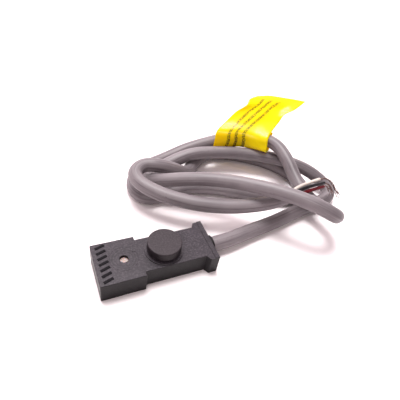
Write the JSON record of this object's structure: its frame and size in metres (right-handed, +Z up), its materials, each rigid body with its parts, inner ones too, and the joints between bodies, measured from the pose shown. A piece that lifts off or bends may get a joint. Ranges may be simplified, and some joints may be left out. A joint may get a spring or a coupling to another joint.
{
  "type": "magnetic proximity sensor",
  "caption": "Small flat black magnetic proximity sensor with a round clamp knob, an indicator window and a loose grey cable with a flag label and stripped leads.",
  "frame": {"origin": "centre of the sensor body's underside, on the surface it lies on", "axes": "+X along the body towards the cable end, +Y across it, +Z up through the knob"},
  "size_m": [0.0912, 0.0571, 0.0284],
  "materials": {
    "housing_plastic": "fine moulded satin",
    "cover_plastic": "moulded matte",
    "clear_lens": "clear moulded acrylic",
    "board_laminate": "solder mask",
    "led_body": "epoxy",
    "chip_plastic": "moulded epoxy",
    "chip_ceramic": "ceramic",
    "chip_resistor": "glazed ceramic",
    "insert_brass": "turned",
    "pad_plastic": "nylon",
    "stud_steel": "plated",
    "knob_plastic": "smooth turned satin",
    "relief_rubber": "soft matte",
    "white_insulation": "smooth",
    "black_insulation": "smooth",
    "red_insulation": "smooth",
    "cable_jacket": "satin PVC",
    "label_film": "glossy laminated film",
    "tinned_copper": "bright tinned"
  },
  "bodies": {
    "root": {"housing": "housing_plastic", "base_cover": "cover_plastic", "led_lens": "clear_lens", "circuit_board": "board_laminate", "led_chip": "led_body", "output_transistor": "chip_plastic", "chip_capacitor": "chip_ceramic", "protection_diode": "chip_plastic", "hall_sensor": "chip_plastic", "chip_resistors": "chip_resistor", "threaded_insert": "insert_brass", "strain_relief": "relief_rubber", "core_white": "white_insulation", "core_black": "black_insulation", "core_red": "red_insulation", "cable": "cable_jacket", "flag_label": "label_film", "lead_white": "white_insulation", "lead_black": "black_insulation", "lead_red": "red_insulation", "bare_strands": "tinned_copper"},
    "foot": {"pressure_pad": "pad_plastic"},
    "knob": {"clamp_knob": "knob_plastic", "knob_stud": "stud_steel"}
  },
  "joints": [
    {"name": "screw_travel", "type": "slide", "parent": "root", "child": "foot", "axis": [0, 0, 1], "range_m": [-0.0004, 0.0016]},
    {"name": "knob_turn", "type": "hinge", "parent": "foot", "child": "knob", "pos_m": [0.0023, 0, 0], "axis": [0, 0, 1], "range_deg": [-289, 1153]}
  ],
  "couplings": [
    {"joint": "knob_turn", "follows": "screw_travel", "rad_per_m": 12566}
  ]
}
